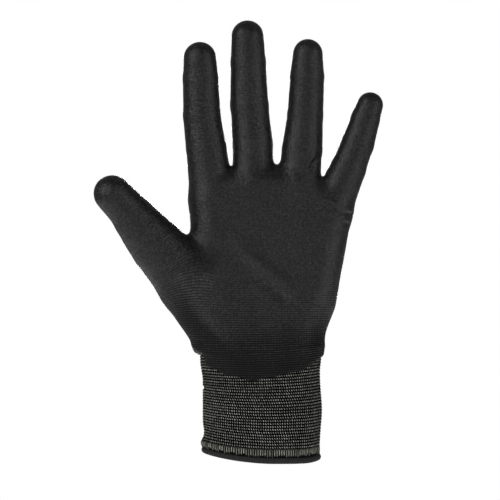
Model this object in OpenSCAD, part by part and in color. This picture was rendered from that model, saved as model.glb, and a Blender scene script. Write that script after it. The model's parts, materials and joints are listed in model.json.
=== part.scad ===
// Palm-coated knitted cut resistant glove, left hand, standing as worn: fingers along +Z, palm facing -Y.
// The origin is the centre of the cuff's mouth, where the hand goes in. All lengths are in millimetres.

/* [Fabric] */
// Thickness of the knitted liner
liner_t = 0.7; // [0.5:0.05:0.9]
// Thickness of the polyurethane film on the palm side
film_t = 0.25; // [0.15:0.05:0.35]
// Running gap between sections that turn past each other
gap = 0.3; // [0.2:0.05:0.4]

/* [Cuff] */
// Radius of the cuff's rounded ends, over the knit
cuff_r = 21.6; // [21:0.1:23]
// Half the flat length between the two rounded ends
cuff_half_flat = 12; // [10:0.5:14]
// Thickness of the ribbed cuff knit
cuff_t = 1.0; // [0.8:0.1:1.2]
// Height of the wrist hinge above the cuff's mouth
wrist_z = 66; // [60:1:72]
// Number of elastic yarn rings laid into the cuff
elastic_count = 13; // [6:1:16]
// Height of the overlocked hem
hem_h = 3.6; // [3:0.2:5]
// Spacing of the long stitches above the hem
stitch_pitch = 1.56; // [1.4:0.02:3]
// Lowest point of the film on the front of the cuff
film_low_z = 49; // [44:1:54]

/* [Joint ranges] */
// Wrist bend to either side, in degrees
wrist_swing = 30; // [10:5:30]
// Largest bend of a finger stall where it leaves the hand, in degrees
base_bend = 75; // [40:5:80]
// Backward bend of a finger stall where it leaves the hand, in degrees
base_back = 15; // [0:5:20]
// Largest bend at the middle knuckle, in degrees
middle_bend = 75; // [40:5:80]
// Largest bend at the end knuckle, in degrees
end_bend = 35; // [20:5:60]
// Largest bend at the little finger's middle knuckle, which meets the palm sooner, in degrees
little_middle_bend = 55; // [30:5:60]
// Largest bend at the little finger's end knuckle, in degrees
little_end_bend = 25; // [10:5:30]
// Largest fold of the thumb over the palm, in degrees
thumb_fold = 45; // [20:5:50]
// Backward swing of the thumb, in degrees
thumb_back = 15; // [0:5:20]
// Largest bend of the thumb's own knuckle, in degrees
thumb_bend = 65; // [30:5:75]

/* [Hidden] */
$fn = 64;
form_fn = 26;
far = 200;
step_r = liner_t + film_t + gap;

// A finger: [name, first hinge, section lengths, section leans towards +X, section curls towards the palm,
//            hinge radii over the film]
FINGERS = [
    ["index", [-31.2, 0.5, 178], [19, 20.5, 20.6], [-8, -2, 0], [2, 6, 10], [11.0, 10.2, 9.3]],
    ["middle", [-5.0, 0.8, 179.5], [22.5, 24.5, 23.3], [-4.5, -1.5, -0.5], [2, 6, 10], [11.2, 10.4, 9.5]],
    ["ring", [23, 0.8, 176.8], [20, 21.5, 21], [5, 3, 0], [3, 7, 11], [10.9, 10.0, 9.1]],
    ["little", [49.2, 0.2, 166.4], [14.5, 15, 14.9], [21, 17, 9], [4, 8, 12], [9.9, 8.9, 7.9]]
];
THUMB = ["thumb", [-57.8, -9, 121.6], [22.5, 29.5], [-41, -42], [14, 20], [13.2, 10.8]];
FINGER_BENDS = [base_bend, middle_bend, end_bend];
LITTLE_BENDS = [base_bend, little_middle_bend, little_end_bend];
THUMB_BENDS = [thumb_fold, thumb_bend];

INDEX = 0;
MIDDLE = 1;
RING = 2;
LITTLE = 3;

// Direction of a section that leans towards +X and curls towards the palm
function along(lean, curl) = [cos(curl) * sin(lean), -sin(curl), cos(curl) * cos(lean)];

// Hinge point of section i, walking up the finger from its first hinge
function hinge(f, i) = i == 0 ? f[1] : hinge(f, i - 1) + f[2][i - 1] * along(f[3][i - 1], f[4][i - 1]);

// Radius over the film at the far end of section i: it clears the next section's ball
function end_r(f, i) = i + 1 < len(f[5]) ? f[5][i + 1] + step_r : f[5][i];

// Points of an arc about [0, z], as [radius, height]
function arc(r, z, from, to, n) = [for (k = [0:n]) let (a = from + (to - from) * k / n) [r * cos(a), z + r * sin(a)]];

BALL_DROP = 35;
ARC_STEPS = 6;
TIP_STEPS = 10;

// Outline of one open stall section between two radii measured inwards from the film's face
function open_outline(f, i, outer_in, inner_in) = let (
    r0 = f[5][i],
    r1 = end_r(f, i),
    h = f[2][i]
) concat(
    arc(r0 - outer_in, 0, -BALL_DROP, 0, ARC_STEPS),
    [[r1 - outer_in, h], [r1 - inner_in, h]],
    arc(r0 - inner_in, 0, 0, -BALL_DROP, ARC_STEPS)
);

// Outline of a closed stall end, which is round like a fingertip
function tip_outline(f, i, outer_in, inner_in) = let (
    r = f[5][i],
    top = f[2][i] - f[5][i]
) concat(
    arc(r - outer_in, 0, -BALL_DROP, 0, ARC_STEPS),
    arc(r - outer_in, top, 2, 90, TIP_STEPS),
    arc(r - inner_in, top, 90, 2, TIP_STEPS),
    arc(r - inner_in, 0, 0, -BALL_DROP, ARC_STEPS)
);

// Puts a child, modelled from its hinge upwards, where section i stands
module at_section(f, i) {
    translate(hinge(f, i)) rotate([f[4][i], f[3][i], 0]) children();
}

// Everything that section i sweeps through at its largest bend, with the running gap
module bend_room(f, i, bend) {
    translate(hinge(f, i)) rotate([f[4][i] + bend, f[3][i], 0]) cylinder(r = f[5][i] + gap + 0.1, h = 60);
}

// A stall section's wall between two depths below the film's face
module section_wall(f, i, bends, outer_in, inner_in) {
    last = i + 1 == len(f[5]);
    difference() {
        at_section(f, i) rotate_extrude()
            polygon(last ? tip_outline(f, i, outer_in, inner_in) : open_outline(f, i, outer_in, inner_in));
        if (!last) bend_room(f, i + 1, bends[i + 1]);
    }
}

// The knitted section of a stall
module liner_section(f, i, bends) {
    color("dimgray") section_wall(f, i, bends, film_t, film_t + liner_t);
}

// The film on a stall section: the palm side up to just past its middle, and all round the tip
module film_section(f, i, bends) {
    last = i + 1 == len(f[5]);
    bare_h = last ? f[2][i] - 1.6 * f[5][i] : f[2][i] + 20;
    color([0.14, 0.14, 0.15]) difference() {
        section_wall(f, i, bends, 0, film_t);
        at_section(f, i) translate([-25, 0.3 * f[5][i], -25]) cube([50, 50, 25 + bare_h]);
    }
}

// A flat oval, as seen from above: two round ends and a straight middle
module oval(r) {
    for (side = [-1, 1]) translate([side * cuff_half_flat, 0]) circle(r = r);
    square([2 * cuff_half_flat, 2 * r], center = true);
}

module oval_wall(r_out, r_in, from, to) {
    translate([0, 0, from]) linear_extrude(height = to - from) difference() {
        oval(r_out);
        oval(r_in);
    }
}

WRIST_R = cuff_r - cuff_t - gap - film_t;
CUFF_TOP = wrist_z - 7;
// Angle that the wrist's seat reaches below its hinge: the cuff still laps it at full swing
SEAT_DROP = wrist_swing + 15;
ELASTIC_T = 0.45;
ELASTIC_H = 0.8;
HEM_LAP = 0.7;
KNIT_START = 1;
STITCH_TOP = 8.2;
STITCH_T = 0.4;

module elastic_rings() {
    pitch = (CUFF_TOP - hem_h - 5) / (elastic_count - 1);
    for (k = [0:elastic_count - 1]) {
        low = hem_h + 2.5 + k * pitch;
        oval_wall(cuff_r - cuff_t + ELASTIC_T, cuff_r - cuff_t, low, low + ELASTIC_H);
    }
}

// Ribbed cuff, with a groove inside for each elastic ring
module cuff_rib_knit() {
    color("gray") difference() {
        oval_wall(cuff_r, cuff_r - cuff_t, KNIT_START, CUFF_TOP);
        elastic_rings();
    }
}

module cuff_elastic_yarns() {
    color("black") elastic_rings();
}

// Overlocked hem that wraps the cuff's raw edge
module cuff_hem_binding() {
    color([0.06, 0.06, 0.06]) difference() {
        oval_wall(cuff_r + HEM_LAP, cuff_r - cuff_t - HEM_LAP, 0, hem_h);
        oval_wall(cuff_r, cuff_r - cuff_t, KNIT_START, hem_h + 1);
    }
}

// One long stitch, standing on the cuff's face at the height of the stitch band
module stitch_bar() {
    translate([0, cuff_r - 1, hem_h]) cube([0.45 * stitch_pitch, 2, STITCH_TOP - hem_h]);
}

// Row of long stitches above the hem, all round
module cuff_hem_stitches() {
    across = floor(2 * cuff_half_flat / stitch_pitch);
    around = floor(PI * cuff_r / stitch_pitch);
    color("lightgray") intersection() {
        oval_wall(cuff_r + STITCH_T, cuff_r, hem_h, STITCH_TOP);
        for (side = [0, 180]) rotate(side) {
            for (k = [0:across - 1]) translate([(k + 0.5) * stitch_pitch - cuff_half_flat, 0, 0]) stitch_bar();
            for (k = [0:around - 1]) translate([cuff_half_flat, 0, 0]) rotate(-(k + 0.5) * 180 / around) stitch_bar();
        }
    }
}

// Film that runs down over the top of the cuff on its palm side
module coat_cuff() {
    color([0.14, 0.14, 0.15]) difference() {
        oval_wall(cuff_r + film_t, cuff_r, film_low_z, CUFF_TOP);
        translate([-far / 2, 4, 0]) cube([far, far, far]);
    }
}

// Knuckles that the stalls grow out of, in the order of FINGERS: [centre, radius]
KNUCKLES = [[[-27.5, 0.5, 153], 14.2], [[-4.5, 1, 154.5], 14.6], [[19.5, 1, 153], 14.2], [[38.5, 0.2, 144], 12.6]];

module knuckle(k, o) {
    translate(KNUCKLES[k][0]) sphere(r = KNUCKLES[k][1] + o);
}

// Body of the hand without its thumb, grown by o: wrist, heel, edge of the hand and the four knuckles
module palm_form(o) {
    hull($fn = form_fn) {
        for (side = [-1, 1]) translate([side * cuff_half_flat, 0, wrist_z]) cylinder(r = WRIST_R + o, h = 1);
        translate([-21, -1, 96]) sphere(r = 17.5 + o);
        translate([26, -0.5, 96]) sphere(r = 17.5 + o);
        for (k = [INDEX:LITTLE]) knuckle(k, o);
    }
}

// Ball of the thumb, grown by o: from the heel of the hand out to the thumb's root
module thumb_form(o) {
    hull($fn = form_fn) {
        translate([-14, -1, wrist_z + 17]) sphere(r = 17 + o);
        translate([-24, -2, 104]) sphere(r = 18 + o);
        collar(THUMB, o);
    }
}

// Ring that a stall turns in, grown by o
module collar(f, o) {
    at_section(f, 0) translate([0, 0, -4]) cylinder(r = f[5][0] + gap + liner_t + o, h = 5);
}

// Round seat in the wrist that turns inside the cuff's top, grown by o
module wrist_seat(o) {
    hull($fn = form_fn) for (side = [-1, 1]) translate([side * cuff_half_flat, 0, wrist_z]) sphere(r = WRIST_R + o);
}

module hand_form(o) {
    palm_form(o);
    thumb_form(o);
    for (k = [INDEX:LITTLE]) hull($fn = form_fn) {
        knuckle(k, o);
        collar(FINGERS[k], o);
    }
}

// What is cut out of the hand around a stall's first hinge so that the stall can bend both ways
module stall_room(f, bend, back) {
    for (turn = [bend, -back]) hull($fn = form_fn) bend_room(f, 0, turn);
    hull($fn = form_fn) at_section(f, 0) cylinder(r = f[5][0] + step_r + 1, h = 30);
}

// The hand's wall between two forms, with the round seat below it
module hand_wall(outer, inner) {
    drop = WRIST_R * sin(SEAT_DROP);
    difference() {
        union() {
            hand_form(outer);
            intersection() {
                wrist_seat(outer);
                translate([-far / 2, -far / 2, wrist_z - drop]) cube([far, far, drop + 2]);
            }
        }
        hand_form(inner);
        wrist_seat(inner);
        for (f = FINGERS) stall_room(f, base_bend, base_back);
        stall_room(THUMB, thumb_fold, thumb_back);
    }
}

module liner_hand() {
    color("dimgray") hand_wall(0, -liner_t);
}

// The film over the palm and round the hand's edges
module coat_hand() {
    color([0.14, 0.14, 0.15]) difference() {
        hand_wall(film_t, 0);
        translate([-far / 2, 4, 0]) cube([far, far, 2 * far]);
    }
}

module liner_index_base() { liner_section(FINGERS[INDEX], 0, FINGER_BENDS); }
module coat_index_base() { film_section(FINGERS[INDEX], 0, FINGER_BENDS); }
module liner_index_middle() { liner_section(FINGERS[INDEX], 1, FINGER_BENDS); }
module coat_index_middle() { film_section(FINGERS[INDEX], 1, FINGER_BENDS); }
module liner_index_tip() { liner_section(FINGERS[INDEX], 2, FINGER_BENDS); }
module coat_index_tip() { film_section(FINGERS[INDEX], 2, FINGER_BENDS); }
module liner_middle_base() { liner_section(FINGERS[MIDDLE], 0, FINGER_BENDS); }
module coat_middle_base() { film_section(FINGERS[MIDDLE], 0, FINGER_BENDS); }
module liner_middle_middle() { liner_section(FINGERS[MIDDLE], 1, FINGER_BENDS); }
module coat_middle_middle() { film_section(FINGERS[MIDDLE], 1, FINGER_BENDS); }
module liner_middle_tip() { liner_section(FINGERS[MIDDLE], 2, FINGER_BENDS); }
module coat_middle_tip() { film_section(FINGERS[MIDDLE], 2, FINGER_BENDS); }
module liner_ring_base() { liner_section(FINGERS[RING], 0, FINGER_BENDS); }
module coat_ring_base() { film_section(FINGERS[RING], 0, FINGER_BENDS); }
module liner_ring_middle() { liner_section(FINGERS[RING], 1, FINGER_BENDS); }
module coat_ring_middle() { film_section(FINGERS[RING], 1, FINGER_BENDS); }
module liner_ring_tip() { liner_section(FINGERS[RING], 2, FINGER_BENDS); }
module coat_ring_tip() { film_section(FINGERS[RING], 2, FINGER_BENDS); }
module liner_little_base() { liner_section(FINGERS[LITTLE], 0, LITTLE_BENDS); }
module coat_little_base() { film_section(FINGERS[LITTLE], 0, LITTLE_BENDS); }
module liner_little_middle() { liner_section(FINGERS[LITTLE], 1, LITTLE_BENDS); }
module coat_little_middle() { film_section(FINGERS[LITTLE], 1, LITTLE_BENDS); }
module liner_little_tip() { liner_section(FINGERS[LITTLE], 2, LITTLE_BENDS); }
module coat_little_tip() { film_section(FINGERS[LITTLE], 2, LITTLE_BENDS); }
module liner_thumb_base() { liner_section(THUMB, 0, THUMB_BENDS); }
module coat_thumb_base() { film_section(THUMB, 0, THUMB_BENDS); }
module liner_thumb_tip() { liner_section(THUMB, 1, THUMB_BENDS); }
module coat_thumb_tip() { film_section(THUMB, 1, THUMB_BENDS); }

cuff_rib_knit();
cuff_elastic_yarns();
cuff_hem_binding();
cuff_hem_stitches();
coat_cuff();
liner_hand();
coat_hand();
liner_index_base();
coat_index_base();
liner_index_middle();
coat_index_middle();
liner_index_tip();
coat_index_tip();
liner_middle_base();
coat_middle_base();
liner_middle_middle();
coat_middle_middle();
liner_middle_tip();
coat_middle_tip();
liner_ring_base();
coat_ring_base();
liner_ring_middle();
coat_ring_middle();
liner_ring_tip();
coat_ring_tip();
liner_little_base();
coat_little_base();
liner_little_middle();
coat_little_middle();
liner_little_tip();
coat_little_tip();
liner_thumb_base();
coat_thumb_base();
liner_thumb_tip();
coat_thumb_tip();
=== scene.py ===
import json
import math
from functools import cache

import bpy
import numpy as np
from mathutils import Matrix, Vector


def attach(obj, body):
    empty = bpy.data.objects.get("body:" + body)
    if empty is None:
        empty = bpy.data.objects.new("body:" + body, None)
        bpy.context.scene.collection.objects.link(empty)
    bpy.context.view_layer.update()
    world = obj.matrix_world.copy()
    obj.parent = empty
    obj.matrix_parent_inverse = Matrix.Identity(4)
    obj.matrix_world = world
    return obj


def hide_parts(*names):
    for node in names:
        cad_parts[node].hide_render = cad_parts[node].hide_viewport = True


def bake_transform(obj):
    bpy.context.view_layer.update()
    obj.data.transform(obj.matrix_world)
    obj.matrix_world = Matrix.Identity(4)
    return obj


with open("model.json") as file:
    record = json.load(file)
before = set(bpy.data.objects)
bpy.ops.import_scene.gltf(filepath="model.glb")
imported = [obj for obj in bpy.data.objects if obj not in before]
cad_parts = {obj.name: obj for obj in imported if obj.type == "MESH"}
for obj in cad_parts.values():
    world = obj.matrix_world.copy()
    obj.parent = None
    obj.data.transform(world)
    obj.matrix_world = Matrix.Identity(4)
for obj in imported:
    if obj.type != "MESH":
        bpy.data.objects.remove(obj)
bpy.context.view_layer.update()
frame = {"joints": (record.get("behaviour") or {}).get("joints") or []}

# Lengths below are in millimetres and become metres when a mesh is made.
MM = 0.001

# The hand's form, and the grid that it is drawn on
DEPTH = 0.94  # front-to-back thickness against width
FILM_T = 0.3  # how far the film stands over the knit at its edge
LINER_T = 0.9  # how far the inside of the knit lies under its outside
CELL = 1.0
GRID_LOW = np.array([-101.0, -40.0, 40.0])
GRID_TOP = np.array([76.0, 28.0, 256.0])
BLOCK = 4  # cells along a block, which is tested once to see whether it is near the surface

# The fine knit of the hand
LINER_LOW = 61.0  # height where it ends and the cuff begins
COURSE_H = 1.27
WALE_W = 1.5

# The cuff: a flat oval with straight sides and round ends
HALF_FLAT = 12.0  # half the length of a straight side
CUFF_R = 21.2
WRIST_R = 21.9  # the same for the form of the hand where it meets the cuff
CUFF_TOP = 64.0
CUFF_INSIDE = 1.4  # how far in the inside of the knit lies
STITCHES = 136
ROW_H = 1.67
ROW_STEPS = 6  # rows of the mesh to a row of knit
YARN = 0.42  # how far a row of knit stands out

# The hem, the band of long stitches over it and the elastic yarns inside the cuff
HEM_H = 3.4
HEM_TURNS = 190
BAND_H = 4.8
BAND_STITCHES = 136
ELASTIC_HEIGHTS = np.linspace(8.0, 56.0, 13)
ELASTIC_R = (0.22, 0.4)  # half its thickness and half its height
ELASTIC_WRAP = 0.8  # length of one turn of its thread
ELASTIC_STEPS = 120  # steps of the mesh round the cuff

# The view, in metres
LOOK_AT = (-0.0065, 0.0, 0.1202)
CAMERA_FAR = 1.6
VIEW_W = 0.2834
SENSOR_W = 36.0  # of the camera, in millimetres
FLOOR_R = 0.4
FLOOR_Z = -0.06
FLOOR_SIDES = 64

# The lamps: place in metres, width and height in metres, and watts
LAMPS = {
    "key": ((-1.05, -0.85, 0.62), (0.35, 1.0), 9.7),
    "fill": ((1.25, -0.75, 0.25), (0.35, 0.9), 5.5),
    "front": ((0.1, -1.5, 0.3), (1.2, 0.8), 1.35),
    "back": ((0.0, 1.45, 0.15), (0.5, 0.5), 16.0),
}
WORLD_LIGHT = 0.15  # how brightly the white surround lights the glove


def joint_at(name):
    """Position in mm of a joint in the frame."""
    joint = next(j for j in frame["joints"] if j["name"] == name)
    return np.array(joint["pos_m"]) / MM


def unit(v):
    """The direction of a vector, as a vector of length one."""
    return v / np.linalg.norm(v)


def smooth_step(t):
    """Rises from 0 to 1 as t does, level at both ends."""
    t = np.clip(t, 0.0, 1.0)
    return t * t * (3 - 2 * t)


def bell(x, middle, width):
    """One in the middle, and falling to nothing over a few widths."""
    return np.exp(-(((x - middle) / width) ** 2))


def soft_min(a, b, k):
    """Smaller of two distances, with the corner between them rounded over k."""
    h = np.maximum(k - np.abs(a - b), 0) / k
    return np.minimum(a, b) - h * h * k / 4


def round_cone(p, a, b, ra, rb):
    """Signed distance from points p to two balls and the cone between them."""
    ba = b - a
    l2 = ba @ ba
    rr = ra - rb
    a2 = l2 - rr * rr
    pa = p - a
    y = pa @ ba
    z = y - l2
    x2 = ((pa * l2 - y[:, None] * ba) ** 2).sum(1)
    y2 = y * y * l2
    z2 = z * z * l2
    k = np.sign(rr) * rr * rr * x2
    side = (np.sqrt(x2 * a2 / l2) + y * rr) / l2 - ra
    side = np.where(np.sign(y) * a2 * y2 < k, np.sqrt(x2 + y2) / l2 - ra, side)
    return np.where(np.sign(z) * a2 * z2 > k, np.sqrt(x2 + z2) / l2 - rb, side)


class Stall:
    """A finger or thumb: its bones as points and radii, from the heel of the hand to the tip."""

    def __init__(self, name, joints, roots, radii, tip, zones):
        """
        Roots and tip are (x, y, z, radius), and radii are those at the joints. Zones say how far before and
        after each joint the skin bends.
        """
        self.name = name
        self.hinges = [joint_at(j) for j in joints]
        self.points = [np.array(r[:3], float) for r in roots] + self.hinges + [np.array(tip[:3], float)]
        self.radii = [r[3] for r in roots] + list(radii) + [tip[3]]
        self.first = len(roots)
        bones = self.points[self.first :]
        self.axes = [unit(b - a) for a, b in zip(bones, bones[1:])]
        self.zones = zones
        self.sections = ["base", "middle", "tip"] if len(joints) == 3 else ["base", "tip"]

    def distance(self, p):
        """Signed distance to the bones from the knuckle on."""
        d = None
        for i in range(self.first - 1, len(self.points) - 1):
            cone = round_cone(p, self.points[i], self.points[i + 1], self.radii[i], self.radii[i + 1])
            d = cone if d is None else soft_min(d, cone, 1.0)
        return d

    def zone(self, i):
        """Where the skin starts and stops bending at hinge i."""
        before, after = self.zones[i]
        return self.hinges[i] - before * self.axes[i], self.hinges[i] + after * self.axes[i]

    def body(self, i):
        """Name of the body that turns at hinge i."""
        return f"{self.name}_{self.sections[i]}"

    def nearest(self, p):
        """Nearest point on the bones, the radius there, the length along the bones and the distance."""
        best = np.full(len(p), 1e9)
        point = np.zeros((len(p), 3))
        radius = np.zeros(len(p))
        length = np.zeros(len(p))
        run = 0.0
        for i in range(len(self.points) - 1):
            a = self.points[i]
            b = self.points[i + 1]
            size = np.linalg.norm(b - a)
            t = (p - a) @ (b - a) / size**2
            held = np.clip(t, 0, 1)
            q = a + held[:, None] * (b - a)
            r = self.radii[i] + held * (self.radii[i + 1] - self.radii[i])
            d = np.linalg.norm(p - q, axis=1) - r
            closer = d < best
            best = np.where(closer, d, best)
            point[closer] = q[closer]
            radius[closer] = r[closer]
            last = i == len(self.points) - 2
            stretch = t if last else held
            length[closer] = (run + stretch * size)[closer]
            run += size
        return point, radius, length, best


STALLS = [
    Stall(
        "index",
        ["index_base_bend", "index_middle_bend", "index_tip_bend"],
        [(-20, 0, 92, 14), (-27.6, 1.6, 149, 12.8)],
        (11.0, 10.4, 9.7),
        (-34.9, -4.6, 228.8, 8.8),
        ((9.0, 9.0), (9.5, 9.5), (9.5, 9.5)),
    ),
    Stall(
        "middle",
        ["middle_base_bend", "middle_middle_bend", "middle_tip_bend"],
        [(-5, 0.5, 84, 14), (-4.6, 1.5, 150, 12.4)],
        (10.9, 10.6, 9.6),
        (-7.8, -4.7, 240.9, 8.8),
        ((8.6, 9.5), (10.0, 10.0), (10.0, 9.0)),
    ),
    Stall(
        "ring",
        ["ring_base_bend", "ring_middle_bend", "ring_tip_bend"],
        [(9, 0.5, 84, 14), (19.8, 1.5, 148, 12.2)],
        (11.1, 10.0, 9.2),
        (26.2, -5.0, 231.0, 8.1),
        ((7.4, 9.5), (9.5, 9.5), (9.5, 9.0)),
    ),
    Stall(
        "little",
        ["little_base_bend", "little_middle_bend", "little_tip_bend"],
        [(18.5, 0, 82, 14), (38.6, 1.4, 142, 12.0)],
        (9.8, 8.9, 7.9),
        (61.4, -4.6, 202.0, 7.0),
        ((7.0, 7.0), (7.0, 7.0), (7.0, 7.0)),
    ),
    Stall(
        "thumb",
        ["thumb_fold", "thumb_bend"],
        [(-22, -2, 77, 19.2), (-40, -5, 101, 18.0)],
        (15.0, 12.2),
        (-83.5, -20.5, 151.6, 10.2),
        ((5.0, 9.0), (10.0, 10.0)),
    ),
]
FINGERS = STALLS[:4]
THUMB = STALLS[4]


def squeezed(p):
    """Points with the hand's thickness stretched to its width, about the plane of the fingers."""
    return p * np.array([1, 1 / DEPTH, 1])


def outline_distance(p, corners):
    """Signed distance in the x-z plane to an outline of corners, which run anticlockwise."""
    flat = p[:, [0, 2]]
    best = np.full(len(p), 1e9)
    inside = np.ones(len(p), bool)
    for a, b in zip(corners, np.roll(corners, -1, axis=0)):
        ab = b - a
        t = np.clip((flat - a) @ ab / (ab @ ab), 0, 1)
        best = np.minimum(best, np.linalg.norm(flat - a - t[:, None] * ab, axis=1))
        inside &= ab[0] * (flat[:, 1] - a[1]) - ab[1] * (flat[:, 0] - a[0]) > 0
    return np.where(inside, -best, best)


# The palm is a slab with rounded edges: the centres of its rounded edge, as (x, z)
PALM = np.array([
    (-13, 66), (13, 66), (26, 93), (38.9, 143), (20, 154.2), (-5, 156.2), (-27.8, 148.5), (-22.5, 100),
])


def palm_distance(p):
    """Distance to the palm slab: thickest at its heel, thin at its outer side and hollow in the middle."""
    half = 12.9 + 3.6 * smooth_step((128 - p[:, 2]) / 62) + 0.9 * smooth_step((150 - p[:, 2]) / 20)
    half -= 0.9 * smooth_step((p[:, 0] - 22) / 18) * smooth_step((p[:, 2] - 110) / 30)
    hollow = bell(p[:, 0], 6, 20) * bell(p[:, 2], 122, 26) * (p[:, 1] < 0)
    edge = np.maximum(outline_distance(p, PALM), 0)
    return np.hypot(edge, p[:, 1] - 0.3) - half + 1.2 * hollow * smooth_step(-p[:, 1] / 6)


def wrist_distance(p):
    """Distance to the flat oval of the wrist, whose top is rounded over inside the palm."""
    d = np.hypot(np.maximum(np.abs(p[:, 0]) - HALF_FLAT, 0), p[:, 1]) - WRIST_R
    d -= 0.8 * smooth_step((p[:, 0] - 18) / 12)
    top = p[:, 2] - 66
    return np.maximum(d + np.maximum(top, 0) * 0.5, top - 20)


def form_distance(p):
    """Signed distance to the smooth form of the whole gloved hand."""
    q = squeezed(p)
    palm = soft_min(palm_distance(q), wrist_distance(p), 8)
    fingers = None
    for stall in FINGERS:
        d = stall.distance(q)
        fingers = d if fingers is None else soft_min(fingers, d, 2.0)
    ball = round_cone(q, THUMB.points[0], THUMB.points[1], THUMB.radii[0], THUMB.radii[1])
    ball = soft_min(ball, THUMB.distance(q), 3)
    return soft_min(soft_min(palm, fingers, 4), ball, 9)


def gradient(p, step=0.2):
    """Outward direction of the form at points p."""
    g = np.empty_like(p)
    for k in range(3):
        shift = np.zeros(3)
        shift[k] = step
        g[:, k] = form_distance(p + shift) - form_distance(p - shift)
    return g / np.maximum(np.linalg.norm(g, axis=1, keepdims=True), 1e-9)


def form_grid():
    """Signed distances on a grid of cells: exact near the surface, and only roughly right away from it."""
    size = (GRID_TOP - GRID_LOW) / CELL
    blocks = np.ceil(size / BLOCK).astype(int)
    axes = [GRID_LOW[k] + CELL * BLOCK * np.arange(blocks[k] + 1) for k in range(3)]
    corners = np.stack(np.meshgrid(*axes, indexing="ij"), -1)
    grid = form_distance(corners.reshape(-1, 3)).reshape(corners.shape[:3])
    for axis in range(3):
        grid = np.repeat(grid, BLOCK, axis)
    near = np.abs(grid) < 2.2 * BLOCK * CELL  # more than a block's diagonal
    grid[near] = form_distance(GRID_LOW + CELL * np.argwhere(near))
    return grid


def surface_net(grid):
    """Quads round a grid's zero surface, with one corner in each cell that the surface passes through."""
    inside = grid < 0
    n = np.array(grid.shape) - 1
    total = np.zeros(tuple(n) + (3,))
    count = np.zeros(tuple(n))
    for axis in range(3):
        others = [k for k in range(3) if k != axis]
        a = np.take(grid, range(n[axis]), axis)
        b = np.take(grid, range(1, n[axis] + 1), axis)
        crossed = (a < 0) != (b < 0)
        t = np.where(crossed, a / np.where(crossed, a - b, 1), 0)
        for du in (0, 1):
            for dv in (0, 1):
                cut = [slice(None)] * 3
                cut[others[0]] = slice(du, n[others[0]] + du)
                cut[others[1]] = slice(dv, n[others[1]] + dv)
                hit = crossed[tuple(cut)]
                total[..., axis] += np.where(hit, t[tuple(cut)], 0)
                total[..., others[0]] += hit * du
                total[..., others[1]] += hit * dv
                count += hit
    used = count > 0
    number = np.full(tuple(n), -1)
    number[used] = np.arange(used.sum())
    verts = GRID_LOW + CELL * (np.argwhere(used) + total[used] / count[used][:, None])
    quads = []
    for axis in range(3):
        u, v = [(1, 2), (2, 0), (0, 1)][axis]
        a = np.take(inside, range(n[axis]), axis)
        b = np.take(inside, range(1, n[axis] + 1), axis)
        edge = np.argwhere(a != b)
        edge = edge[(edge[:, u] > 0) & (edge[:, v] > 0) & (edge[:, u] < n[u]) & (edge[:, v] < n[v])]
        outward = a[tuple(edge.T)]
        ring = []
        for du, dv in ((-1, -1), (0, -1), (0, 0), (-1, 0)):
            cell = edge.copy()
            cell[:, u] += du
            cell[:, v] += dv
            ring.append(number[tuple(cell.T)])
        quad = np.stack(ring, 1)
        quads.append(np.where(outward[:, None], quad, quad[:, ::-1]))
    return verts, np.concatenate(quads)


def triangles(quads):
    """Two triangles for each quad."""
    return np.concatenate([quads[:, [0, 1, 2]], quads[:, [0, 2, 3]]])


def vertex_normals(verts, faces):
    """Outward directions at the vertices, as means over their faces."""
    a, b, c = (verts[faces[:, k]] for k in range(3))
    flat = np.cross(b - a, c - a)
    total = np.zeros_like(verts)
    for k in range(3):
        np.add.at(total, faces[:, k], flat)
    return total / np.maximum(np.linalg.norm(total, axis=1, keepdims=True), 1e-12)


def relaxed(verts, faces):
    """Evens out the net, and puts it back on the form."""
    pairs = np.concatenate([faces[:, [0, 1]], faces[:, [1, 2]], faces[:, [2, 0]]])
    for _ in range(2):
        total = np.zeros_like(verts)
        count = np.zeros(len(verts))
        for i, j in ((0, 1), (1, 0)):
            np.add.at(total, pairs[:, i], verts[pairs[:, j]])
            np.add.at(count, pairs[:, i], 1)
        moved = total / np.maximum(count, 1)[:, None]
        verts = verts + 0.6 * (moved - verts)
        for _ in range(2):
            verts = verts - form_distance(verts)[:, None] * gradient(verts)
    return verts


def waves(p, scale, seed, count=7):
    """Smooth noise, mostly from -1 to 1, made of waves that are about as long as scale."""
    rng = np.random.default_rng(seed)
    total = np.zeros(len(p))
    for _ in range(count):
        turn = unit(rng.normal(size=3)) * rng.uniform(0.6, 1.4) * 2 * math.pi / scale
        total += np.sin(p @ turn + rng.uniform(0, 2 * math.pi))
    return total / math.sqrt(count)


# Creases on the palm side: points as (x, z), depth, half-width, and how high the cloth stands up along one
# side of the crease
CREASES = [
    ([(-24, 124.5), (-17, 119.5), (-5, 107), (9, 96.5), (20, 85.5)], 0.85, 4.0, 1.2),
    ([(26, 163), (29, 169), (33, 175)], 0.9, 1.2, 0.4),
    ([(37, 147), (44, 141.5), (54, 140)], 0.9, 1.2, 0.5),
    ([(42, 138), (46, 135.5), (53, 134)], 0.4, 1.2, 0.2),
]


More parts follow.
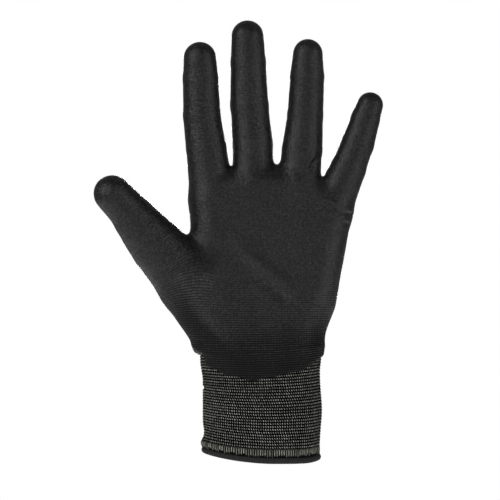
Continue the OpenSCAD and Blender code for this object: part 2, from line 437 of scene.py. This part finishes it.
def crease_depth(p):
    """How deep the creases cut at points p; a ridge beside a crease counts below zero."""
    front = smooth_step(-p[:, 1] / 6)
    flat = p[:, [0, 2]]
    total = np.zeros(len(p))
    for points, depth, width, ridge in CREASES:
        best = np.full(len(p), 1e9)
        signed = np.zeros(len(p))
        fade = np.zeros(len(p))
        points = np.array(points, float)
        pieces = len(points) - 1
        for i in range(pieces):
            ab = points[i + 1] - points[i]
            t = np.clip((flat - points[i]) @ ab / (ab @ ab), 0, 1)
            off = flat - points[i] - t[:, None] * ab
            d = np.linalg.norm(off, axis=1)
            closer = d < best
            best = np.where(closer, d, best)
            signed = np.where(closer, d * np.sign(ab[1] * off[:, 0] - ab[0] * off[:, 1]), signed)
            fade = np.where(closer, (i + t) / pieces, fade)
        ends = smooth_step(fade * 4) * smooth_step((1 - fade) * 4)
        valley = depth * bell(best, 0, width)
        total += (valley - ridge * bell(signed, -1.6 * width, width)) * ends
    return total * front


# Columns of a skin's data: outward direction, place in the knit, distance to each stall, and reach inside
# the film's edge
NORMAL = slice(0, 3)
KNIT = slice(3, 5)
OWNERS = slice(5, 10)
REACH = 10


class Skin:
    """A triangle mesh with data at each vertex, in the columns NORMAL, KNIT, OWNERS and REACH."""

    def __init__(self, verts, faces, data):
        self.v = verts
        self.f = faces
        self.d = data

    def split(self, value, mask):
        """Cuts the masked faces along value = 0, and gives the value of every vertex after the cut."""
        value = value.copy()
        faces = self.f
        edges = np.concatenate([faces[mask][:, [0, 1]], faces[mask][:, [1, 2]], faces[mask][:, [2, 0]]])
        edges = np.unique(np.sort(edges, axis=1), axis=0)
        a = value[edges[:, 0]]
        b = value[edges[:, 1]]
        t = np.where(a * b < 0, a / np.where(a == b, 1, a - b), 0.5)
        value[edges[(a * b < 0) & (t < 0.1), 0]] = 0
        value[edges[(a * b < 0) & (t > 0.9), 1]] = 0
        a = value[edges[:, 0]]
        b = value[edges[:, 1]]
        crossed = edges[a * b < 0]
        t = (value[crossed[:, 0]] / (value[crossed[:, 0]] - value[crossed[:, 1]]))[:, None]
        start = len(self.v)
        number = {tuple(e): start + i for i, e in enumerate(crossed.tolist())}
        self.v = np.concatenate([self.v, self.v[crossed[:, 0]] * (1 - t) + self.v[crossed[:, 1]] * t])
        self.d = np.concatenate([self.d, self.d[crossed[:, 0]] * (1 - t) + self.d[crossed[:, 1]] * t])
        value = np.concatenate([value, np.zeros(len(crossed))])
        sign = np.sign(value[faces]).astype(int)
        hit = mask & (sign.min(1) < 0) & (sign.max(1) > 0)
        made = []
        for face, s in zip(faces[hit].tolist(), sign[hit].tolist()):
            # with one corner on the cut the face is halved, and otherwise one corner is cut off
            if 0 in s:
                k = s.index(0)
                x, y, z = face[k], face[(k + 1) % 3], face[(k + 2) % 3]
                m = number[(min(y, z), max(y, z))]
                made += [(x, y, m), (x, m, z)]
                continue
            k = next(i for i in range(3) if s[i] != s[(i + 1) % 3] and s[i] != s[(i + 2) % 3])
            x, y, z = face[k], face[(k + 1) % 3], face[(k + 2) % 3]
            m = number[(min(x, y), max(x, y))]
            n = number[(min(x, z), max(x, z))]
            made += [(x, m, n), (m, y, z), (m, z, n)]
        extra = np.array(made, int).reshape(-1, 3)
        self.f = np.concatenate([faces[~hit], extra])
        return value

    def centres(self, values):
        """Means of the vertices' values over each face."""
        return values[self.f].mean(1)


def chain_weights(p):
    """How much each stall's own direction counts at points p, and for each stall what nearest() gives."""
    q = squeezed(p)
    near = [stall.nearest(q) for stall in STALLS]
    d = np.stack([n[3] for n in near], 1)
    w = np.exp(-(d - d.min(1, keepdims=True)) / 3.0)
    w /= w.sum(1, keepdims=True)
    return w, near


def knit_position(p):
    """Place in the knit, as (across, along) in mm, which turns with each stall."""
    w, _ = chain_weights(p)
    across = np.zeros(len(p))
    along = np.zeros(len(p))
    level = p[:, 2] - row_lift(p[:, 0], p[:, 2]) * (1 - smooth_step((p[:, 2] - 60) / 20))
    for i, stall in enumerate(STALLS):
        hinge = stall.hinges[0]
        axis = unit(stall.axes[0] * np.array([1, 0, 1]))
        side = np.cross(axis, [0, 1, 0])
        s = (p - hinge) @ axis + hinge[2]
        x = hinge[0] - (p - hinge) @ side
        if stall is THUMB:
            turn = smooth_step((s - hinge[2] + 48) / 52)
        else:
            turn = smooth_step((p[:, 2] - hinge[2] + 25) / 25)
        across += w[:, i] * (x * turn + p[:, 0] * (1 - turn))
        along += w[:, i] * (s * turn + level * (1 - turn))
    return np.stack([across, along], 1)


def film_reach(p):
    """Positive where the film covers the knit, and zero along the film's edge."""
    w, near = chain_weights(p)
    centre = np.zeros(len(p))
    radius = np.zeros(len(p))
    beyond = np.zeros(len(p))
    for i, stall in enumerate(STALLS):
        point, r, length, _ = near[i]
        full = sum(np.linalg.norm(b - a) for a, b in zip(stall.points, stall.points[1:]))
        centre += w[:, i] * point[:, 1] * DEPTH
        radius += w[:, i] * np.minimum(r, 14)
        beyond += w[:, i] * (length - full + 0.9 * stall.radii[-1])
    # the film ends a little behind the middle of each stall's sides, covers its tip, and ends on the cuff
    side = centre + 0.3 * radius + 0.5 * waves(p, 22, 5) - p[:, 1]
    low = p[:, 2] - film_low(p)
    return np.minimum(np.maximum(side, beyond + 0.4 * waves(p, 9, 6)), low)


def film_low(p):
    """Height of the film's lower edge, which sags over the front of the cuff."""
    x = p[:, 0]
    bare = 6.5 * smooth_step((-30.5 - x) / 3.5)
    ragged = 0.8 * np.sin(x / 5.0) * (x > 0) + 0.4 * np.sin(x / 2.3 + 1)
    return 47.5 + 9.5 * (np.abs(x + 3) / 33) ** 1.7 + ragged + bare


def ribbing(p):
    """How plainly the knit's courses show through the film: most at the wrist and on the thumb's ball."""
    x = p[:, 0]
    z = p[:, 2]
    low = 0.3 + 0.7 * smooth_step((112 - z) / 34) + 0.4 * smooth_step((80 - z) / 15)
    ball = bell(x, -38, 14) * bell(z, 98, 16)
    return np.minimum(low + 0.6 * ball, 1.4)


def make_mesh(name, verts, faces, knit, normals=None):
    """A smooth mesh object from points in mm. Its attribute holds the place in the knit and the ribbing."""
    mesh = bpy.data.meshes.new(name)
    mesh.vertices.add(len(verts))
    mesh.vertices.foreach_set("co", (verts * MM).astype(np.float32).ravel())
    corners = faces.shape[1]
    mesh.loops.add(faces.size)
    mesh.loops.foreach_set("vertex_index", faces.astype(np.int32).ravel())
    mesh.polygons.add(len(faces))
    mesh.polygons.foreach_set("loop_start", np.arange(0, faces.size, corners, dtype=np.int32))
    mesh.polygons.foreach_set("use_smooth", np.ones(len(faces), bool))
    attribute = mesh.attributes.new("knit", "FLOAT_VECTOR", "POINT")
    place = np.column_stack([knit, ribbing(verts)])
    attribute.data.foreach_set("vector", place.astype(np.float32).ravel())
    mesh.update()
    mesh.validate()
    if normals is not None:
        mesh.normals_split_custom_set_from_vertices([tuple(n) for n in normals])
    obj = bpy.data.objects.new(name, mesh)
    bpy.context.scene.collection.objects.link(obj)
    return obj


def used_only(verts, faces, *data):
    """Drops the vertices that no face uses."""
    keep, flat = np.unique(faces, return_inverse=True)
    return (verts[keep], flat.reshape(faces.shape)) + tuple(d[keep] for d in data)


def stitched_oval(s, r):
    """Point and outward direction at length s round a flat oval, starting at the middle of its front."""
    arc = math.pi * r
    side = 2 * HALF_FLAT
    s = np.mod(s, 2 * (arc + side))
    back = s >= arc + side
    s = np.where(back, s - arc - side, s)
    on_flat = np.minimum(s, HALF_FLAT) + np.maximum(s - HALF_FLAT - arc, 0)
    turn = np.clip(s - HALF_FLAT, 0, arc) / r
    past = s > HALF_FLAT + arc / 2
    x = np.where(past, side - on_flat, on_flat)
    nx = np.sin(turn)
    ny = -np.cos(turn)
    flip = np.where(back, -1.0, 1.0)
    return np.stack([(x + r * nx) * flip, r * ny * flip], -1), np.stack([nx * flip, ny * flip], -1)


def hem_rise(x):
    """How far the hem is drawn up at the thumb side."""
    return 0.5 + 5.2 * np.clip((6 - x) / 40, 0, 1) ** 1.6 + 1.2 * np.clip((x - 24) / 10, 0, 1) ** 2


def row_lift(x, z):
    """How far the knit's rows bow away from level."""
    k = np.clip(z / 50, 0, 1)
    return hem_rise(x) * (1 - k) + k * (1.3 * (x / 33) ** 2 + 0.9 * x / 33)


def cuff_swell(x, z):
    """How far the cuff stands out from a straight tube, with one deeper groove between its rows."""
    right = smooth_step((x + 10) / 20)
    left_side = 1.1 * bell(z, 6.5, 2.8) - 0.7 * bell(z, 13, 4.5) - 0.2
    left_side += 1.5 * smooth_step((z - 45) / 13) * smooth_step((-29 - x) / 4)
    right_side = 1.15 * bell(z, 28, 11) - 0.2 * bell(z, 6, 5) - 0.35
    right_side += 0.7 * smooth_step((z - 49) / 8) * smooth_step((x - 18) / 12)
    groove = 0.8 * bell(z, 41, 0.9) * smooth_step((15 - x) / 10)
    return left_side * (1 - right) + right_side * right - groove


def tube_grid(rows_at, around):
    """
    A closed strip mesh round the cuff, as points, quads and places in the knit. Its columns stand at lengths
    s round the cuff, and rows_at(s) gives for each row how far it stands out, its height, and its place
    across and along the knit.
    """
    perimeter = 2 * (math.pi * CUFF_R + 2 * HALF_FLAT)
    s = np.arange(around) / around * perimeter
    rows = []
    knit = []
    place, outward = stitched_oval(s, CUFF_R)
    x = place[:, 0]
    for out, z, across, along in rows_at(s):
        xy = place + outward * (out + cuff_swell(x, z))[:, None]
        rows.append(np.column_stack([xy, z + row_lift(x, z)]))
        knit.append(np.column_stack([across, np.full(around, along)]))
    i = np.arange(around)
    j = (i + 1) % around
    first = np.column_stack([i, j, around + j, around + i])
    quads = np.concatenate([first + k * around for k in range(len(rows) - 1)])
    return np.concatenate(rows), quads, np.concatenate(knit)


def hand_skin():
    """The whole form with its creases and its film standing over the knit, not yet divided."""
    verts, quads = surface_net(form_grid())
    faces = triangles(quads)
    verts = relaxed(verts, faces)
    outward = gradient(verts)
    x = verts[:, 0]
    z = verts[:, 2]
    lumps = 0.13 * waves(verts, 30, 1) + 0.03 * waves(verts, 9, 2) * (z > 66)
    # the thumb is flatter on its outer side, below its tip
    lumps -= 1.3 * bell(x, -84, 9) * bell(z, 136, 9)
    # the hand's knit stands out over the top of the cuff on the thumb side
    lip = 1.2 * smooth_step((-24 - x) / 10) * smooth_step((z - LINER_LOW) / 1.5) * smooth_step((70 - z) / 7)
    verts = verts + outward * (lumps + lip - crease_depth(verts))[:, None]
    _, near = chain_weights(verts)
    owners = np.stack([n[3] for n in near], 1)
    skin = Skin(verts, faces, np.column_stack([outward, knit_position(verts), owners]))
    reach = skin.split(film_reach(skin.v), np.ones(len(skin.f), bool))
    raised = FILM_T * smooth_step(reach / 0.9)
    # on the cuff the film's edge dips into the knit, so that no gap shows under it
    sunk = 0.45 * (1 - smooth_step((skin.v[:, 2] - LINER_LOW) / 4)) * (1 - smooth_step(reach / 1.2))
    skin.v = skin.v + skin.d[:, NORMAL] * (raised - sunk)[:, None]
    skin.d[:, NORMAL] = vertex_normals(skin.v, skin.f)
    skin.d = np.column_stack([skin.d, reach])
    return skin


def divide(skin):
    """Cuts the skin where its pieces meet. Says of each face its body, if it is film, and if it is kept."""

    def owner():
        return skin.centres(skin.d[:, OWNERS]).argmin(1)

    skin.split(skin.v[:, 2] - LINER_LOW, np.ones(len(skin.f), bool))
    for k, stall in enumerate(STALLS):
        for i in range(len(stall.hinges)):
            start, _ = stall.zone(i)
            skin.split((skin.v - start) @ stall.axes[i], owner() == k)
    centre = skin.centres(skin.v)
    body = np.full(len(skin.f), "hand", dtype=object)
    mine = owner()
    for k, stall in enumerate(STALLS):
        for i in range(len(stall.hinges)):
            start, _ = stall.zone(i)
            body[(mine == k) & ((centre - start) @ stall.axes[i] > 0)] = stall.body(i)
    film = skin.centres(skin.d[:, REACH]) > 0
    low = centre[:, 2] < LINER_LOW
    body[low] = "cuff"
    return body, film, film | ~low


def skin_piece(name, skin, faces, inside):
    """One piece of the skin: its outer faces, and a layer below the inside faces, if any, facing inwards."""
    verts, faces, data = used_only(skin.v, faces, skin.d)
    normals = data[:, NORMAL]
    knit = data[:, KNIT]
    if inside is not None:
        deep, deep_faces, deep_data = used_only(skin.v, inside, skin.d)
        deep = deep - LINER_T * deep_data[:, NORMAL]
        faces = np.concatenate([faces, deep_faces[:, ::-1] + len(verts)])
        verts = np.concatenate([verts, deep])
        normals = np.concatenate([normals, -deep_data[:, NORMAL]])
        knit = np.concatenate([knit, deep_data[:, KNIT]])
    return make_mesh(name, verts, faces, knit, normals)


def hang_wrist(obj):
    """Bakes a piece's placement into its mesh."""
    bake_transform(obj)


def build_hand():
    """The film and the knit of each body, and the film's tongue on the cuff."""
    skin = hand_skin()
    body, film, kept = divide(skin)
    places = [("hand", None, 0)]
    places += [(stall.body(i), stall, i) for stall in STALLS for i in range(len(stall.hinges))]
    for name, stall, i in places:
        here = (body == name) & kept
        coat = skin_piece(f"{name}_film", skin, skin.f[here & film], None)
        liner = skin_piece(f"{name}_knit", skin, skin.f[here & ~film], skin.f[here])
        for obj, slot, node, paint in (
            (coat, "coat", f"coat_{name}", film_material()),
            (liner, "liner_knit", f"liner_{name}", liner_material()),
        ):
            obj.data.materials.append(paint)
            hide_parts(node)
            if stall is None:
                hang_wrist(obj)
                continue
            start, end = stall.zone(i)
            parent = "hand" if i == 0 else stall.body(i - 1)
            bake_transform(obj)
    coat = skin_piece("cuff_film", skin, skin.f[(body == "cuff") & kept & film], None)
    coat.data.materials.append(film_material())
    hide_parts("coat_cuff")
    hang_wrist(coat)


def pulse(t):
    """Rounded ridge that repeats with every whole number: 1 in the middle and 0 at the ends."""
    return np.abs(np.sin(np.pi * t)) ** 0.8


def knit_rows(s):
    """Rows of the ribbed knit from its top inside edge, down the inside and up the outside."""
    across = s / s[-1] * (STITCHES - STITCHES / len(s))
    low = HEM_H + BAND_H
    for z in np.arange(CUFF_TOP, low, -ROW_H):
        yield -CUFF_INSIDE, z, across, z / ROW_H
    for z in np.arange(low - 0.4, CUFF_TOP, ROW_H / ROW_STEPS):
        row = z / ROW_H
        # stitches lean, and each row's stand between those of the row below
        twist = across + 0.35 * (row % 1 - 0.5) + 0.5 * (int(row) % 2)
        out = YARN * pulse(row) * (0.8 + 0.2 * pulse(twist))
        yield out, z, across, row


def band_rows(s):
    """Rows of the band of long upright stitches above the hem."""
    across = s / s[-1] * (BAND_STITCHES - BAND_STITCHES / len(s))
    ridge = pulse(across)
    for t in np.linspace(0, 1, 12):
        z = HEM_H - 0.6 + t * (BAND_H + 0.8)
        belly = math.sin(math.pi * min(max(t, 0.03), 0.97)) ** 0.5
        yield 0.1 + 0.38 * ridge * belly, z, across, t


def hem_rows(s):
    """Rows of the rolled hem binding, once round its own section, with the thread's slanting turns."""
    across = s / s[-1] * (HEM_TURNS - HEM_TURNS / len(s))
    for turn in np.linspace(0, 2 * math.pi, 25):
        ridge = 0.13 * pulse(across + turn / 2 / math.pi)
        out = -0.5 + (1.35 + ridge) * math.cos(turn)
        z = HEM_H / 2 + (HEM_H / 2 + ridge) * math.sin(turn)
        yield out, z, across, turn / 2 / math.pi


def elastic_rows(height):
    """Rows of one elastic yarn at a height, once round its own section."""
    thick, high = ELASTIC_R

    def rows(s):
        for turn in np.linspace(0, 2 * math.pi, 9):
            out = -CUFF_INSIDE - 0.05 + thick * math.cos(turn)
            yield out, height + high * math.sin(turn), s, turn

    return rows


def cuff_piece(name, grid, node, paint):
    """One knitted or sewn piece round the cuff, in place of a CAD node."""
    obj = make_mesh(name, *grid)
    obj.data.materials.append(paint)
    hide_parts(node)
    return obj


def elastic_grid():
    """All the elastic yarns as one mesh."""
    rings = [tube_grid(elastic_rows(height), ELASTIC_STEPS) for height in ELASTIC_HEIGHTS]
    verts, quads, knit = zip(*rings)
    quads = [ring + i * len(verts[0]) for i, ring in enumerate(quads)]
    return np.concatenate(verts), np.concatenate(quads), np.concatenate(knit)


def build_cuff():
    """The rib knit, the band, the hem and the elastic yarns."""
    knit = tube_grid(knit_rows, STITCHES * 4)
    band = tube_grid(band_rows, BAND_STITCHES * 8)
    hem = tube_grid(hem_rows, HEM_TURNS * 5)
    hang_wrist(cuff_piece("cuff_knit", knit, "cuff_rib_knit", cuff_material()))
    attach(cuff_piece("hem_stitches", band, "cuff_hem_stitches", band_material()), "cuff")
    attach(cuff_piece("hem_binding", hem, "cuff_hem_binding", hem_material()), "cuff")
    elastic = elastic_grid()
    hang_wrist(cuff_piece("elastic_yarns", elastic, "cuff_elastic_yarns", elastic_material()))


class Nodes:
    """A material's node tree, built with short calls that return sockets."""

    def __init__(self, name, roughness, gloss, sheen=0.0):
        self.material = bpy.data.materials.new(name)
        self.material.use_nodes = True
        self.tree = self.material.node_tree
        self.shader = self.tree.nodes["Principled BSDF"]
        self.shader.inputs["Roughness"].default_value = roughness
        self.shader.inputs["Specular IOR Level"].default_value = gloss
        self.shader.inputs["Sheen Weight"].default_value = sheen
        self.shader.inputs["Sheen Roughness"].default_value = 0.4

    def add(self, kind, inputs=(), **settings):
        """A new node with its inputs set or linked."""
        node = self.tree.nodes.new(kind)
        for key, value in settings.items():
            setattr(node, key, value)
        for key, value in dict(inputs).items():
            self.put(value, node.inputs[key])
        return node

    def put(self, value, socket):
        """Links an output to a socket, or sets the socket to a number, vector or colour."""
        if isinstance(value, bpy.types.NodeSocket):
            self.tree.links.new(value, socket)
        else:
            socket.default_value = value

    def math(self, operation, a, b=0.0, c=0.0):
        return self.add("ShaderNodeMath", {0: a, 1: b, 2: c}, operation=operation).outputs[0]

    def knit(self):
        """Place across and along the knit, how plainly its courses show, and all three as a vector."""
        place = self.add("ShaderNodeAttribute", attribute_name="knit").outputs["Vector"]
        parts = self.add("ShaderNodeSeparateXYZ", {0: place})
        return parts.outputs[0], parts.outputs[1], parts.outputs[2], place

    def stretched(self, place, across, along):
        """The place in the knit with its two directions scaled."""
        node = self.add("ShaderNodeVectorMath", {0: place, 1: (across, along, 1.0)}, operation="MULTIPLY")
        return node.outputs[0]

    def noise(self, vector, scale, detail=2.0, roughness=0.5):
        inputs = {"Vector": vector, "Scale": scale, "Detail": detail, "Roughness": roughness}
        return self.add("ShaderNodeTexNoise", inputs).outputs["Fac"]

    def speckle(self, x, y=0.0):
        """A number from 0 to 1 for each whole-numbered cell of x and y."""
        cell = self.add("ShaderNodeCombineXYZ", {0: self.math("FLOOR", x), 1: self.math("FLOOR", y)})
        return self.add("ShaderNodeTexWhiteNoise", {"Vector": cell.outputs[0]}).outputs["Value"]

    def span(self, value, low, high, to_low=0.0, to_high=1.0):
        """Goes smoothly from one number to another as the value goes from low to high."""
        inputs = {0: value, 1: low, 2: high, 3: to_low, 4: to_high}
        return self.add("ShaderNodeMapRange", inputs, interpolation_type="SMOOTHSTEP").outputs[0]

    def mix(self, factor, a, b):
        node = self.add("ShaderNodeMix", {0: factor}, data_type="RGBA")
        self.put(a, node.inputs[6])
        self.put(b, node.inputs[7])
        return node.outputs[2]

    def scaled(self, colour, factor):
        node = self.add("ShaderNodeVectorMath", {0: colour}, operation="SCALE")
        self.put(factor, node.inputs["Scale"])
        return node.outputs[0]

    def bump(self, height, distance, strength=1.0, below=None):
        inputs = {"Height": height, "Distance": distance, "Strength": strength}
        node = self.add("ShaderNodeBump", inputs)
        if below is not None:
            self.put(below, node.inputs["Normal"])
        return node.outputs[0]

    def finish(self, colour, normal=None, roughness=None, coat=None):
        """Links what varies to the shader, and gives the material."""
        self.put(colour, self.shader.inputs["Base Color"])
        if coat is not None:
            self.put(coat, self.shader.inputs["Coat Weight"])
            self.put(normal, self.shader.inputs["Coat Normal"])
        if normal is not None:
            self.put(normal, self.shader.inputs["Normal"])
        if roughness is not None:
            self.put(roughness, self.shader.inputs["Roughness"])
        return self.material


def grey(level, warm=0.0):
    """A linear colour from a display level of 0 to 255, a little yellow if asked."""
    value = (level / 255) ** 2.2
    return (value, value, value * (1 - warm), 1.0)


@cache
def film_material():
    """A satin film through which the knit's courses show where it is thinner, with painted shade on the
    thumb side of the heel of the hand.
    """
    n = Nodes("polyurethane_film", roughness=0.35, gloss=0.16)
    n.shader.inputs["Coat Roughness"].default_value = 0.33
    across, along, shows, place = n.knit()
    wobble = n.noise(place, 0.09, 2.0)
    wobble = n.math("MULTIPLY", wobble, 4.0)
    course = n.math("SINE", n.math("MULTIPLY_ADD", along, 2 * math.pi / COURSE_H, wobble))
    wale = n.math("SINE", n.math("MULTIPLY", across, 2 * math.pi / WALE_W))
    patches = n.span(n.noise(place, 0.05, 3.0), 0.35, 0.65, 0.6, 1.0)
    weave = n.math("MULTIPLY", n.math("MULTIPLY_ADD", wale, 0.2, course), n.math("MULTIPLY", shows, patches))
    fine = n.noise(place, 2.2, 3.0, 0.65)
    grain = n.noise(place, 0.75, 3.0, 0.7)
    normal = n.bump(weave, 0.00006, 1.0)
    normal = n.bump(fine, 0.0002, 0.8, normal)
    normal = n.bump(grain, 0.00045, 0.9, normal)
    # the film thins towards the wrist, from higher up on both outer sides of the heel of the hand; on the
    # thumb side's outer flank this extra darkening is painted shade, where the surface turns from the light
    away = n.math("MULTIPLY_ADD", across, -0.78, n.math("MULTIPLY_ADD", along, -0.62, 27.0))
    thinning_and_shade = n.math("ADD", n.span(away, -2.0, 8.0, 0.0, 22.0), n.span(across, 24.0, 33.0, 0.0, 10.0))
    low = n.span(n.math("SUBTRACT", along, thinning_and_shade), 52.0, 92.0)
    # painted shade: a thin dark line along the seam where the hand's knit meets the cuff's, standing in for
    # the shade in its groove
    off_seam = n.math("ABSOLUTE", n.math("MULTIPLY_ADD", across, -0.05, n.math("SUBTRACT", along, 63.6)))
    seam_shade = n.span(off_seam, 0.2, 0.8, 0.3, 1.0)
    patchy = n.span(n.noise(place, 0.035, 4.0), 0.3, 0.7, 0.85, 1.15)
    lines = n.math("POWER", n.span(low, 0.0, 1.0, 4.5, 2.6), weave)
    speckle = n.math("POWER", 4.5, n.span(grain, 0.32, 0.68, -0.5, 0.5))
    tone_and_seam_shade = n.math("MULTIPLY", n.math("MULTIPLY", speckle, lines), n.math("MULTIPLY", patchy, seam_shade))
    rough = n.math("ADD", n.span(fine, 0.3, 0.7, 0.28, 0.38), n.span(grain, 0.35, 0.65, 0.02, -0.02))
    rough = n.math("ADD", n.math("MULTIPLY_ADD", weave, -0.08, rough), n.span(low, 0.0, 1.0, 0.3, 0.0))
    coat = n.math("MULTIPLY_ADD", weave, n.span(low, 0.0, 1.0, 1.0, 0.5), 1.0)
    coat = n.math("MULTIPLY", n.span(low, 0.0, 1.0, 0.05, 0.46), coat)
    coat = n.math("MULTIPLY", coat, n.span(grain, 0.35, 0.65, 0.85, 1.2))
    # darker colour where the film thins at the wrist, and painted shade on the thumb side's outer heel
    return n.finish(n.scaled(n.mix(low, grey(15), grey(31)), tone_and_seam_shade), normal, rough, coat)


@cache
def liner_material():
    """Small V-shaped stitches in a mottle of dark and pale plies."""
    n = Nodes("melange_knit", roughness=0.85, gloss=0.2, sheen=0.05)
    across, along, _, place = n.knit()
    u = n.math("DIVIDE", across, WALE_W)
    fold = n.math("PINGPONG", u, 0.5)
    v = n.math("MULTIPLY_ADD", fold, 0.9, n.math("DIVIDE", along, COURSE_H))
    leg = n.math("MULTIPLY", n.span(fold, 0.0, 0.22), n.span(fold, 0.5, 0.34))
    loop = n.math("ABSOLUTE", n.math("SINE", n.math("MULTIPLY", v, math.pi)))
    height = n.math("MULTIPLY", n.math("POWER", loop, 0.7), n.math("MULTIPLY_ADD", leg, 0.7, 0.3))
    fibre = n.noise(place, 6.0, 3.0, 0.7)
    normal = n.bump(n.math("MULTIPLY_ADD", fibre, 0.3, height), 0.00028, 0.9)
    ply = n.math("POWER", n.speckle(n.math("MULTIPLY", u, 2.0), v), 1.3)
    ply = n.math("MULTIPLY", n.math("MULTIPLY_ADD", ply, 0.8, 0.2), n.span(fibre, 0.25, 0.7, 0.6, 1.0))
    colour = n.mix(n.math("MULTIPLY", ply, n.span(height, 0.15, 0.75)), grey(10), grey(140, 0.08))
    return n.finish(colour, normal)


def cuff_material():
    """Rows of pale beads on a black ground, which lean and start anew in each row."""
    n = Nodes("ribbed_melange_knit", roughness=0.9, gloss=0.05)
    across, along, _, place = n.knit()
    row = n.math("FRACT", along)
    lean = n.math("MULTIPLY_ADD", row, 0.6, n.speckle(along))
    column = n.math("ADD", across, lean)
    wide = n.span(n.math("PINGPONG", column, 0.5), 0.23, 0.45)
    bead = n.math("MULTIPLY", wide, n.span(n.math("PINGPONG", row, 0.5), 0.15, 0.38))
    fibre = n.noise(n.stretched(place, 1.0, 3.0), 2.4, 3.0, 0.7)
    patch = n.span(n.noise(place, 0.09, 3.0), 0.3, 0.7, 0.85, 1.0)
    light = n.math("MULTIPLY", n.math("MULTIPLY_ADD", n.speckle(column, along), 0.6, 0.4), patch)
    light = n.math("MULTIPLY", light, n.span(fibre, 0.3, 0.65, 0.7, 1.0))
    colour = n.mix(n.math("MULTIPLY", bead, light), grey(4), grey(208, 0.1))
    normal = n.bump(n.math("MULTIPLY_ADD", bead, 0.8, fibre), 0.00018, 0.8)
    return n.finish(colour, normal)


def band_material():
    """Long pale stitches, some brighter than others, with dark between them and at their feet."""
    n = Nodes("pale_stitches", roughness=0.8, gloss=0.1)
    across, along, _, place = n.knit()
    fibre = n.noise(n.stretched(place, 3.0, 2.0), 1.2, 3.0, 0.7)
    number = n.speckle(across)
    foot = n.math("MULTIPLY_ADD", number, 0.3, 0.05)
    lit = n.math("MULTIPLY", n.span(n.math("SUBTRACT", along, foot), 0.0, 0.2), n.span(along, 1.0, 0.75))
    ridge = n.span(n.math("PINGPONG", across, 0.5), 0.16, 0.46)
    bright = n.math("MULTIPLY", n.math("MULTIPLY", ridge, lit), n.math("MULTIPLY_ADD", number, 0.7, 0.3))
    bright = n.math("MULTIPLY", bright, n.span(fibre, 0.3, 0.6, 0.25, 1.0))
    colour = n.mix(bright, grey(5), grey(190, 0.15))
    return n.finish(colour, n.bump(fibre, 0.0002, 0.8))


def hem_material():
    """Dark thread wound aslant round the hem."""
    n = Nodes("overlock_thread", roughness=0.7, gloss=0.2)
    across, along, _, place = n.knit()
    fibre = n.noise(n.stretched(place, 1.0, 6.0), 3.0, 3.0, 0.6)
    groove = n.span(n.math("PINGPONG", n.math("ADD", across, along), 0.5), 0.0, 0.25)
    colour = n.mix(n.math("MULTIPLY", groove, fibre), grey(10), grey(64))
    return n.finish(colour, n.bump(fibre, 0.0002, 0.7))


def elastic_material():
    """Thread wrapped closely round an elastic core."""
    n = Nodes("covered_elastic", roughness=0.6, gloss=0.3)
    across = n.knit()[0]
    wrap = n.math("SINE", n.math("MULTIPLY", across, 2 * math.pi / ELASTIC_WRAP))
    colour = n.mix(n.span(wrap, -1.0, 1.0), grey(12), grey(40))
    return n.finish(colour, n.bump(wrap, 0.00006, 0.8))


def floor_material():
    """Pale in the middle and as white as the surround at the rim, so that the floor has no edge."""
    n = Nodes("pale_floor", roughness=0.9, gloss=0.0)
    place = n.add("ShaderNodeTexCoord").outputs["Object"]
    far = n.add("ShaderNodeVectorMath", {0: place}, operation="LENGTH").outputs["Value"]
    edge = n.span(far, 0.12, 0.39)
    n.shader.inputs["Emission Color"].default_value = (1.0, 1.0, 1.0, 1.0)
    n.put(n.span(edge, 0.0, 1.0, 0.45, 1.0), n.shader.inputs["Emission Strength"])
    return n.finish(n.mix(edge, grey(240), grey(0)))


def aim(obj, target):
    """Turns a lamp or camera towards a point."""
    obj.rotation_euler = (Vector(target) - Vector(obj.location)).to_track_quat("-Z", "Y").to_euler()


def area_light(name, place, size, power):
    """A rectangular lamp that looks at the glove."""
    light = bpy.data.lights.new(name, "AREA")
    light.shape = "RECTANGLE"
    light.size, light.size_y = size
    light.energy = power
    obj = bpy.data.objects.new(name, light)
    obj.location = place
    aim(obj, LOOK_AT)
    bpy.context.scene.collection.objects.link(obj)


def lay_floor():
    """A round pale floor below the glove."""
    mesh = bpy.data.meshes.new("floor")
    angles = np.linspace(0, 2 * math.pi, FLOOR_SIDES, endpoint=False)
    ring = [(FLOOR_R * math.cos(a), FLOOR_R * math.sin(a), FLOOR_Z) for a in angles]
    mesh.from_pydata(ring, [], [list(range(FLOOR_SIDES))])
    mesh.materials.append(floor_material())
    floor = bpy.data.objects.new("floor", mesh)
    bpy.context.scene.collection.objects.link(floor)


def surround():
    """A surround that is white to the camera and lights the glove only softly."""
    world = bpy.data.worlds.new("surround")
    bpy.context.scene.world = world
    world.use_nodes = True
    tree = world.node_tree
    tree.nodes.clear()
    mix = tree.nodes.new("ShaderNodeMixShader")
    path = tree.nodes.new("ShaderNodeLightPath")
    tree.links.new(path.outputs["Is Camera Ray"], mix.inputs[0])
    for socket, strength in ((1, WORLD_LIGHT), (2, 1.0)):
        white = tree.nodes.new("ShaderNodeBackground")
        white.inputs["Color"].default_value = (1, 1, 1, 1)
        white.inputs["Strength"].default_value = strength
        tree.links.new(white.outputs[0], mix.inputs[socket])
    out = tree.nodes.new("ShaderNodeOutputWorld")
    tree.links.new(mix.outputs[0], out.inputs[0])


def place_camera():
    """A camera level with the middle of the glove, on its palm side."""
    camera = bpy.data.cameras.new("camera")
    camera.sensor_width = SENSOR_W
    camera.lens = SENSOR_W * CAMERA_FAR / VIEW_W
    camera.clip_end = 20.0
    eye = bpy.data.objects.new("camera", camera)
    eye.location = (LOOK_AT[0], -CAMERA_FAR, LOOK_AT[2])
    aim(eye, LOOK_AT)
    bpy.context.scene.collection.objects.link(eye)
    bpy.context.scene.camera = eye
    bpy.context.scene.view_settings.view_transform = "Standard"


def stage():
    """The floor, the surround, the lamps and the camera."""
    lay_floor()
    surround()
    for name, (place, size, power) in LAMPS.items():
        area_light(name, place, size, power)
    place_camera()


stage()
build_hand()
build_cuff()
